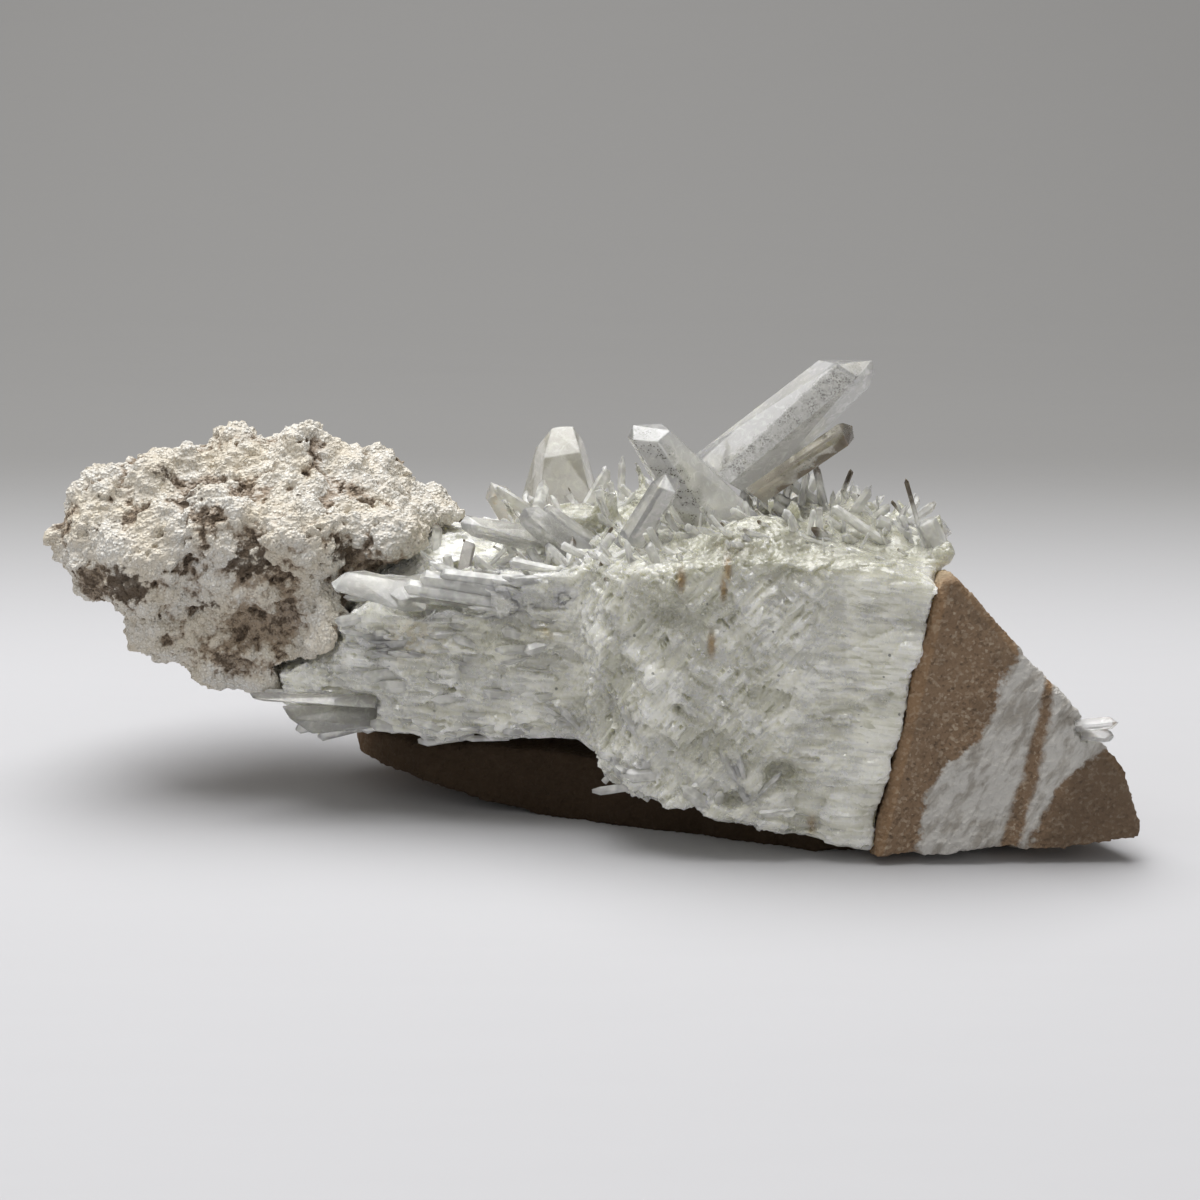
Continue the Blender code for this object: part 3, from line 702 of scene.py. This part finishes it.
# The larger quartz crystals
# Six-sided prisms of clear quartz that grew from the vein, faintly milky, with flat faces and slanting
# tips. Fine dark dust lies on some faces. The points where their edges meet are placed by the
# photograph, each with its depth y in millimetres.
CRYSTAL_POINTS = {
    "main_crystal": [
        ((693.0, 456.1), 10), ((818.5, 360.1), 3), ((717.3, 475.2), 3), ((838.6, 362.2), -4),
        ((729.4, 483.8), 2), ((857.7, 376.7), -5), ((753.7, 497.7), 8), ((869.1, 387.1), 1),
        ((745.0, 489.0), 14), ((864.6, 378.8), 7), ((713.8, 464.8), 15), ((835.1, 361.5), 8),
        ((843.8, 358.4), 0), ((871.9, 357.7), 0), ((875.0, 372.9), 1),
    ],
    "dirty_crystal": [
        ((745.0, 489.0), 1), ((837.9, 423.9), -4), ((752.0, 494.2), -2), ((842.1, 431.5), -6.5),
        ((764.1, 502.9), -1), ((848.3, 445.7), -5.5), ((762.4, 497.7), 4), ((854.2, 438.4), 0),
        ((748.5, 489.0), 5), ((852.5, 425.6), 0), ((843.1, 422.5), -3),
    ],
    "leaning_crystal": [
        ((627.5, 437.1), -9), ((675.7, 522.0), -5), ((632.7, 439.8), -13), ((684.4, 525.4), -9),
        ((658.0, 441.9), -14.5), ((713.8, 527.2), -11), ((684.0, 442.6), -8), ((762.4, 518.5), -4),
        ((665.3, 425.6), -5), ((745.0, 513.3), 1), ((634.1, 425.6), -5), ((689.6, 516.8), 1),
        ((661.8, 423.5), -8), ((632.7, 424.9), -9), ((670.2, 430.8), -11),
    ],
    "crossing_crystal": [
        ((652.1, 481.4), -15), ((613.3, 542.8), -16), ((658.4, 487.7), -18), ((622.0, 549.7), -19),
        ((675.7, 492.5), -18), ((637.6, 556.6), -19), ((680.2, 487.3), -15), ((648.0, 549.7), -16),
        ((670.5, 476.9), -12), ((634.1, 535.8), -13), ((665.3, 473.1), -15), ((679.2, 478.0), -14),
    ],
    "left_crystal": [
        ((465.6, 515.0), -3), ((585.6, 534.1), -1), ((483.3, 527.2), -7.5), ((589.0, 556.6), -6),
        ((471.9, 536.2), -5), ((585.6, 567.0), -3), ((478.1, 520.2), 0), ((585.6, 544.5), 2.5),
        ((459.8, 522.3), -4), ((461.5, 528.9), -4),
    ],
    "speckled_crystal": [
        ((538.8, 506.4), -7), ((602.9, 553.2), -6), ((530.8, 517.1), -11.5), ((585.6, 567.0), -10.5),
        ((520.4, 524.4), -9), ((568.2, 570.5), -8.5), ((530.8, 510.2), -4), ((589.0, 556.6), -4),
        ((518.3, 517.5), -8), ((524.6, 507.4), -8),
    ],
    "small_left_crystal": [
        ((550.2, 510.5), -3), ((606.4, 548.0), -2), ((544.0, 515.0), -6), ((592.5, 551.4), -5),
        ((554.4, 506.4), 0), ((609.8, 544.5), 1), ((542.6, 508.5), -2), ((547.5, 505.0), -1),
    ],
    "blunt_crystal": [
        ((535.7, 448.1), 28), ((521.5, 497.7), 30), ((544.0, 457.9), 22), ((540.5, 504.6), 22),
        ((580.4, 452.7), 22), ((592.5, 504.6), 22), ((582.8, 440.5), 28), ((602.2, 504.6), 29),
        ((559.6, 444.0), 34), ((561.3, 504.6), 35), ((551.6, 428.0), 26), ((573.1, 426.3), 27),
        ((559.6, 426.3), 27),
    ],
    "lying_crystal": [
        ((330.4, 582.8), -15), ((345.6, 571.6), -13.5), ((334.4, 590.8), -17), ((432.0, 586.0), -11),
        ((424.0, 611.6), -15), ((404.0, 611.6), -17.5), ((436.0, 598.0), -8), ((364.0, 570.0), -11),
    ],
    "pale_crystal": [
        ((393.6, 579.6), -11), ((382.4, 590.8), -14), ((400.0, 600.4), -17), ((528.0, 581.2), -9),
        ((528.0, 611.6), -15), ((532.0, 598.0), -7), ((512.0, 614.8), -17), ((416.0, 574.0), -8),
    ],
    "lower_needle": [
        ((248.8, 692.4), -11.5), ((252.8, 698.8), -13.5), ((376.0, 695.6), -10.5),
        ((376.0, 708.4), -13), ((304.0, 691.6), -9.5), ((376.0, 702.8), -8.5), ((264.0, 701.2), -12),
    ],
    "lower_shard": [
        ((281.6, 706.0), -9), ((289.6, 718.8), -12), ((376.0, 704.4), -8), ((380.0, 727.6), -12),
        ((312.0, 734.0), -11), ((376.0, 718.0), -5), ((300.0, 703.6), -6),
    ],
}  # fmt: skip
PHOTO_WIDTH = 1200


def sight(pixel):
    """The direction from the camera through a pixel of the 1200-pixel photograph."""
    across = (pixel[0] / PHOTO_WIDTH - 0.5) * SENSOR / CAMERA_LENS
    up = (0.5 - pixel[1] / PHOTO_WIDTH) * SENSOR / CAMERA_LENS
    return Euler((math.radians(90) - CAMERA_TILT, 0, 0)).to_matrix() @ Vector((across, up, -1)).normalized()


def seen_at(pixel, depth):
    """The place at a depth y, in millimetres, that the camera sees at a pixel."""
    way = sight(pixel)
    return camera_place + way * ((depth * MM - camera_place.y) / way.y)


def hull(name, points):
    """The closed crystal whose edges meet at the points."""
    mesh = bpy.data.meshes.new(name)
    mesh.from_pydata(points, [], [])
    crystal = bpy.data.objects.new(name, mesh)
    bpy.context.collection.objects.link(crystal)
    bpy.ops.object.select_all(action="DESELECT")
    crystal.select_set(True)
    bpy.context.view_layer.objects.active = crystal
    bpy.ops.object.mode_set(mode="EDIT")
    bpy.ops.mesh.select_mode(type="VERT")
    bpy.ops.mesh.select_all(action="SELECT")
    bpy.ops.mesh.convex_hull(join_triangles=True, face_threshold=math.radians(4))
    bpy.ops.object.mode_set(mode="OBJECT")
    return crystal


DUST = (0.07, 0.065, 0.055)
BROWN_STAIN = (0.13, 0.09, 0.055)
RUSTY_VEIL = (0.55, 0.38, 0.2)
CLEAR_QUARTZ = (0.97, 0.965, 0.94, 1)


def crystal_finish(name, milk, dirty_spots=(), soot=0.15, stains=(), tint=(0.96, 0.96, 0.93), rust=0.0):
    """Clear quartz with a share of milk, fine dark dust and stains on some faces, and rust in its veils."""
    material, nodes = new_material(name)
    place = nodes.place()
    wisps = nodes.noise(place, 2.0, detail=2, warp=1.2)
    frost = nodes.noise(place, 0.5, detail=1, roughness=0.7)
    bump = nodes.add("ShaderNodeBump", {}, Height=frost, Strength=0.2, Distance=0.1 * MM)
    clear = nodes.add(
        "ShaderNodeBsdfPrincipled", {}, CLEAR_QUARTZ, Roughness=0.05, Transmission_Weight=1.0,
        IOR=QUARTZ_INDEX, Normal=bump,
    )  # fmt: skip
    dust = nodes.cells(place, 0.38).rise(0.6, 0.35) * nodes.noise(place, 1.5, detail=2).rise(0.35, 0.6)
    if dirty_spots:
        zone = patches(nodes, place, dirty_spots).rise(0, 0.3)
        dust = dust * (zone * 0.65 + 0.05) + zone * soot
    else:
        dust = dust * 0.08
    stained = nodes.mix(wisps.rise(0.5, 0.75) * rust, tint, RUSTY_VEIL)
    body = nodes.mix(dust, stained, DUST)
    if stains:
        brown = (patches(nodes, place, stains) * 2.5 + wisps + frost * 0.8 - 0.95).rise(0, 0.5)
        body = nodes.mix(brown, body, BROWN_STAIN)
        dust = dust.most(brown * 0.85)
    milky = nodes.add(
        "ShaderNodeBsdfPrincipled", {}, body, Roughness=0.22, Subsurface_Weight=0.9, Normal=bump,
        Subsurface_Radius=(1.0, 1.0, 0.95), Subsurface_Scale=4 * MM, IOR=QUARTZ_INDEX, Coat_Weight=1.0,
        Coat_Roughness=0.03,
    )  # fmt: skip
    share = (wisps.rise(0.45, 0.8) * 0.12 + milk).most(dust)
    surface(nodes, nodes.add("ShaderNodeMixShader", {}, share, clear, milky))
    return material


MAIN_DUST = [
    ((46, -3, 84.5), (4.4, 6, 3.2)), ((43, -3, 81.6), (4.4, 6, 3.2)), ((40, -3, 78.7), (4.4, 6, 3.2)),
    ((37, -3, 76), (4.4, 6, 3.2)), ((34, -2.5, 73.3), (4.4, 6, 3.2)), ((31, -2, 70.8), (4.4, 6, 3.2)),
    ((28, -1, 68.3), (4.4, 6, 3.2)), ((25, 0, 65.8), (4.4, 6, 3.2)), ((22, 1, 63.4), (4.4, 6, 3.2)),
]  # fmt: skip
DIRTY_TIP = [((47, -3, 75), (9, 8, 8)), ((38, -4, 67), (9, 6, 4))]
BROWN_STAINS = [
    ((50.5, -3, 75.5), (5, 7, 5)), ((47, -5, 71.2), (4.5, 6, 3)), ((43.5, -5, 68), (4.5, 6, 2.6)),
    ((40, -5, 65), (4.5, 6, 2.4)), ((36.5, -4, 62), (4.5, 6, 2.2)),
]  # fmt: skip
LEANING_DUST = [
    ((7.8, -13, 73.5), (4.4, 6, 4.6)), ((10.5, -12.5, 69.8), (4.4, 6, 4.6)), ((13.2, -12, 66), (4.4, 6, 4.6)),
    ((15.8, -11.5, 62), (4.4, 6, 4.6)), ((18.3, -11, 58), (4.4, 6, 4.6)),
]  # fmt: skip
LEFT_DUST = [((-19, -5, 54), (8, 8, 4)), ((-9, -8, 55), (6, 8, 5))]
BEVEL = {"width": 0.12 * MM, "segments": 1, "limit_method": "ANGLE", "angle_limit": math.radians(12)}
GREY_TINT = (0.86, 0.85, 0.78)
left_finish = crystal_finish("left_quartz", 0.22, LEFT_DUST)
lying_finish = crystal_finish("lying_quartz", 0.18, tint=GREY_TINT)
lower_finish = crystal_finish("lower_quartz", 0.18, tint=GREY_TINT)
crystal_finishes = {
    "main_crystal": crystal_finish("main_quartz", 0.34, MAIN_DUST),
    "dirty_crystal": crystal_finish(
        "dirty_quartz", 0.3, DIRTY_TIP, 0.2, BROWN_STAINS, tint=(0.66, 0.60, 0.49)
    ),
    "leaning_crystal": crystal_finish("leaning_quartz", 0.34, LEANING_DUST, 0.3),
    "crossing_crystal": crystal_finish("crossing_quartz", 0.2),
    "left_crystal": left_finish,
    "speckled_crystal": left_finish,
    "small_left_crystal": left_finish,
    "blunt_crystal": crystal_finish("blunt_quartz", 0.38, tint=(0.90, 0.88, 0.80)),
    "lying_crystal": lying_finish,
    "pale_crystal": lying_finish,
    "lower_needle": lower_finish,
    "lower_shard": lower_finish,
}
# The solid that a crystal stands for, where several crystals are given by one solid in the specimen.
STANDS_FOR = {
    "main_crystal": ["main_crystal_pair"], "leaning_crystal": ["leaning_crystal_pair"],
    "left_crystal": ["left_crystal_group"], "blunt_crystal": ["back_crystal"],
    "pale_crystal": ["lying_crystals"], "lower_shard": ["lower_crystal_shards"],
}  # fmt: skip
for name, points in CRYSTAL_POINTS.items():
    crystal = hull(name, [seen_at(pixel, depth) for pixel, depth in points])
    rework(crystal, "BEVEL", **BEVEL)
    finish_piece(crystal, crystal_finishes[name], "clear_quartz", *STANDS_FOR.get(name, []))

# The groups that are seen less well keep the shape of their solid, with finely bevelled edges.
group_finishes = {
    "rusty_crystals": crystal_finish("rusty_quartz", 0.45, tint=(0.90, 0.87, 0.80), rust=0.5),
    "fan_crystal": crystal_finish("fan_quartz", 0.3, tint=(0.66, 0.62, 0.56)),
    "edge_crystals": crystal_finish("edge_quartz", 0.15),
}
for node, finish in group_finishes.items():
    crystals = refined_copy(node, node + "_facets")
    rework(crystals, "BEVEL", **BEVEL)
    finish_piece(crystals, finish, "clear_quartz", node)


# The small crystals
# Needles and stubby prisms of clear quartz cover the top of the vein. The longest needles have dark brown
# tips. Splinters of the same quartz stick out of the broken front.
def new_prism(name, tip_share, tip_width):
    """A six-sided crystal of height 1 and half width 1 on the origin, with a leaning chisel tip."""
    bpy.ops.object.select_all(action="DESELECT")
    body = 1 - tip_share
    bpy.ops.mesh.primitive_cylinder_add(vertices=6, radius=1, depth=body, location=(0, 0, body / 2))
    prism = bpy.context.object
    prism.name = name
    bpy.ops.object.mode_set(mode="EDIT")
    bpy.ops.mesh.select_mode(type="FACE")
    bpy.ops.mesh.select_all(action="DESELECT")
    bpy.ops.object.mode_set(mode="OBJECT")
    for face in prism.data.polygons:
        face.select = face.normal.z > 0.9
    bpy.ops.object.mode_set(mode="EDIT")
    bpy.ops.mesh.extrude_region_move(TRANSFORM_OT_translate={"value": (0.25, 0.1, tip_share)})
    bpy.ops.transform.resize(value=(tip_width, 0.12, 1))
    bpy.ops.object.mode_set(mode="OBJECT")
    bpy.ops.object.transform_apply(location=True)
    return prism


NEEDLE = new_prism("needle", 0.04, 0.55)
STUB = new_prism("stub", 0.16, 0.45)
ROOT_DEPTH = 2  # how far a crystal reaches into the vein, in millimetres
TOP_SEED = 11
SLIM_SHARE = 0.35  # how many of the crystals on the top are needles
DIRTY_SHARE = 0.3
LOWEST_FOOT = 36  # no crystal grows on the top below this height
FRONT_SEED = 23
FRONT_TRIES = 260
SMALL_CLEAR = (0.95, 0.95, 0.93, 1)
SMALL_WHITE = (0.95, 0.94, 0.88)
BROWN_TIP = (0.10, 0.075, 0.05)
vein_skin = BVHTree.FromObject(vein, bpy.context.evaluated_depsgraph_get())


def grow(prism, foot, tip, half_width, flat=1.0, roll=0.0, dirt=0.0):
    """One crystal from foot to tip, in metres, with its share of dirt kept as an attribute."""
    copy = bpy.data.objects.new(prism.name, prism.data.copy())
    bpy.context.collection.objects.link(copy)
    stain = copy.data.attributes.new("dirt", "FLOAT", "POINT")
    stain.data.foreach_set("value", [dirt * vertex.co.z for vertex in copy.data.vertices])
    way = tip - foot
    size = Matrix.Diagonal((half_width * MM, half_width * flat * MM, way.length, 1))
    turn = way.to_track_quat("Z", "Y").to_matrix().to_4x4() @ Matrix.Rotation(roll, 4, "Z")
    copy.data.transform(Matrix.Translation(foot) @ turn @ size)
    return copy


def gather(name, crystals):
    """Joins the crystals into one piece."""
    bpy.ops.object.select_all(action="DESELECT")
    for crystal in crystals:
        crystal.select_set(True)
    bpy.context.view_layer.objects.active = crystals[0]
    bpy.ops.object.join()
    crystals[0].name = name
    return crystals[0]


# Needles set by the pixels of their foot and tip in the photograph, with their half width and dirt.
NEEDLES = [
    ((928.0, 556.6), (905.5, 478.6), 0.42, 1.0), ((871.5, 497.7), (853.5, 476.6), 0.42, 1.0),
    ((813.0, 489.7), (829.3, 474.1), 0.55, 1.0), ((781.4, 518.5), (790.4, 482.1), 0.8, 0.7),
    ((821.3, 542.8), (818.5, 506.4), 0.7, 0.6), ((809.5, 541.7), (813.7, 509.2), 0.5, 0.5),
    ((746.8, 512.3), (742.3, 479.3), 0.45, 1.0), ((731.9, 545.2), (710.0, 515.0), 0.4, 0.1),
    ((697.2, 514.0), (693.0, 500.5), 0.4, 1.0), ((890.6, 550.1), (832.4, 507.1), 0.95, 0.05),
    ((854.2, 540.3), (824.1, 517.5), 0.8, 0), ((912.1, 545.2), (901.0, 515.0), 0.55, 0.5),
    ((481.6, 577.1), (505.9, 548.7), 0.45, 0.3), ((555.1, 559.1), (541.9, 537.6), 0.5, 0.8),
    ((613.3, 502.9), (609.8, 481.4), 0.6, 0.6), ((634.1, 502.9), (620.2, 485.6), 0.7, 0.5),
    ((602.9, 509.8), (597.7, 489.0), 0.8, 0.3), ((866.3, 520.2), (852.5, 492.5), 0.6, 0.6),
    ((849.0, 502.9), (842.1, 489.0), 0.5, 0.7), ((661.8, 554.9), (648.0, 527.2), 0.7, 0.1),
    ((679.2, 561.8), (661.8, 548.0), 0.6, 0.1), ((596.0, 561.8), (613.3, 534.1), 0.9, 0.05),
    ((606.4, 568.8), (634.1, 548.0), 0.8, 0.05), ((571.7, 579.2), (509.3, 561.8), 1.0, 0.1),
    ((585.6, 561.8), (561.3, 544.5), 0.8, 0.3), ((790.1, 520.2), (772.8, 502.9), 0.9, 0.2),
    ((800.5, 527.2), (793.6, 513.3), 0.9, 0.1), ((901.0, 534.1), (876.7, 520.2), 1.2, 0.0),
    ((939.1, 548.0), (925.3, 520.2), 2.0, 0), ((925.3, 544.5), (946.1, 523.7), 2.2, 0),
    ((450.4, 582.6), (446.9, 554.9), 0.9, 0.2), ((752.0, 502.9), (760.6, 489.0), 0.6, 0.9),
    ((682.6, 548.0), (668.8, 534.1), 0.7, 0.1), ((492.0, 568.8), (519.7, 554.9), 0.7, 0.1),
    ((528.0, 611.0), (404.0, 586.0), 1.5, 0.0), ((530.0, 600.0), (420.0, 578.0), 1.7, 0.0),
    ((430.0, 608.0), (333.0, 584.0), 1.4, 0.0), ((545.0, 591.0), (440.0, 575.0), 1.3, 0.0),
    ((376.0, 699.0), (262.0, 694.0), 1.0, 0.0), ((370.0, 712.0), (300.0, 716.0), 1.2, 0.0),
    ((372.0, 708.0), (288.0, 705.0), 1.3, 0.0), ((378.0, 718.0), (296.0, 729.0), 1.1, 0.0),
    ((384.0, 724.0), (318.0, 736.0), 1.2, 0.0), ((372.0, 704.0), (310.0, 726.0), 1.0, 0.0),
]  # fmt: skip
NEEDLE_DEPTH = 3  # how far behind the skin a needle of the list stands
needles = []
for foot_pixel, tip_pixel, half_width, dirt in NEEDLES:
    foot = vein_skin.ray_cast(camera_place, sight(foot_pixel))[0]
    if foot is None:
        continue
    foot = foot + Vector((0, NEEDLE_DEPTH, 0)) * MM
    way = sight(tip_pixel)
    tip = camera_place + way * ((foot.y - camera_place.y) / way.y)
    deeper = foot - (tip - foot).normalized() * ROOT_DEPTH * MM
    needles.append(grow(NEEDLE, deeper, tip, half_width, dirt=dirt))

# Where crystals are scattered over the top: middle and half sizes in millimetres, how many, their longest
# length, and the way that they lean.
TOP_PATCHES = [
    ((44, -6), (20, 12), 44, 8, (-0.5, -0.1)), ((46, 18), (20, 18), 42, 11, (0.1, 0.4)),
    ((6, -8), (20, 9), 26, 8, (-0.3, -0.2)), ((8, 20), (24, 18), 42, 12, (-0.1, 0.5)),
    ((24, -25), (32, 7), 70, 6.5, (-1.3, -0.9)), ((-24, -4), (14, 12), 30, 7, (-0.4, -0.2)),
    ((60, -6), (5, 18), 10, 5, (0.4, 0)),
]  # fmt: skip
draw = random.Random(TOP_SEED)
for (x, y), (half_x, half_y), count, longest, lean in TOP_PATCHES:
    for _ in range(count):
        start = Vector((x + half_x * draw.uniform(-1, 1), y + half_y * draw.uniform(-1, 1), 120)) * MM
        foot = vein_skin.ray_cast(start, Vector((0, 0, -1)))[0]
        slim = draw.random() < SLIM_SHARE
        length = longest * draw.uniform(0.35, 1)
        way = Vector((draw.gauss(lean[0], 0.75), draw.gauss(lean[1], 0.75), 1)).normalized()
        half_width = length * (draw.uniform(0.035, 0.06) if slim else draw.uniform(0.09, 0.17))
        roll = draw.uniform(0, 3)
        if foot is not None and foot.z > LOWEST_FOOT * MM:
            dirt = draw.uniform(0.3, 1.0) if draw.random() < DIRTY_SHARE else 0.0
            prism = NEEDLE if slim else STUB
            foot = foot - way * ROOT_DEPTH * MM
            tip, flat = foot + way * length * MM, draw.uniform(0.6, 1)
            needles.append(grow(prism, foot, tip, half_width, flat, roll, dirt))

# Splinters over the front: level on the left and by the sandstone, steeper in the middle.
splinters_out = []
draw = random.Random(FRONT_SEED)
for _ in range(FRONT_TRIES):
    x, z = draw.uniform(-52, 40), draw.uniform(2, 56)
    if x > -8 and z > 24 - x * 0.3 + draw.uniform(-3, 3):
        continue
    foot = vein_skin.ray_cast(Vector((x, -80, z)) * MM, Vector((0, 1, 0)))[0]
    angle = math.radians(draw.gauss(175, 10) if x < -5 or x > 28 + z * 0.25 else draw.gauss(115, 45))
    length = draw.uniform(4, 11)
    half_width = draw.uniform(0.5, 1.5)
    flat, roll = draw.uniform(0.4, 1), draw.uniform(0, 3)
    if foot is not None and foot.y < 0:
        way = Vector((math.cos(angle), -draw.uniform(0.0, 0.16), math.sin(angle))).normalized()
        foot = foot + Vector((0, half_width * 0.9, 0)) * MM - way * length * 0.3 * MM
        splinters_out.append(grow(STUB, foot, foot + way * length * MM, half_width, flat, roll, 0))


def small_crystal_finish():
    """Clear quartz with faint milky veils, brown where a crystal has dirt."""
    material, nodes = new_material("small_clear_quartz")
    place = nodes.place()
    stain = nodes.add("ShaderNodeAttribute", {"attribute_name": "dirt"}, output="Fac")
    veil = nodes.noise(place, 3, detail=2)
    clear = nodes.add(
        "ShaderNodeBsdfPrincipled", {}, SMALL_CLEAR, Roughness=0.08, Transmission_Weight=1.0,
        IOR=QUARTZ_INDEX,
    )  # fmt: skip
    speckle = nodes.noise(place, 0.9, detail=3, roughness=0.7)
    brown = (stain**2 + speckle * 0.5 - 0.3).rise(0.15, 0.6) * stain.rise(0.1, 0.4)
    body = nodes.mix(brown, SMALL_WHITE, BROWN_TIP)
    milky = nodes.add(
        "ShaderNodeBsdfPrincipled", {}, body, Roughness=0.2, Subsurface_Weight=0.8,
        Subsurface_Radius=(1.0, 1.0, 0.9), Subsurface_Scale=1.5 * MM, IOR=QUARTZ_INDEX,
    )  # fmt: skip
    share = (veil.rise(0.4, 0.65) * 0.3 + 0.34).most(brown * 0.85)
    surface(nodes, nodes.add("ShaderNodeMixShader", {}, share, clear, milky))
    return material


small_quartz = small_crystal_finish()
finish_piece(gather("top_needles", needles), small_quartz, "clear_quartz")
finish_piece(gather("front_splinters", splinters_out), small_quartz, "clear_quartz")
for prism in (NEEDLE, STUB):
    bpy.data.objects.remove(prism)
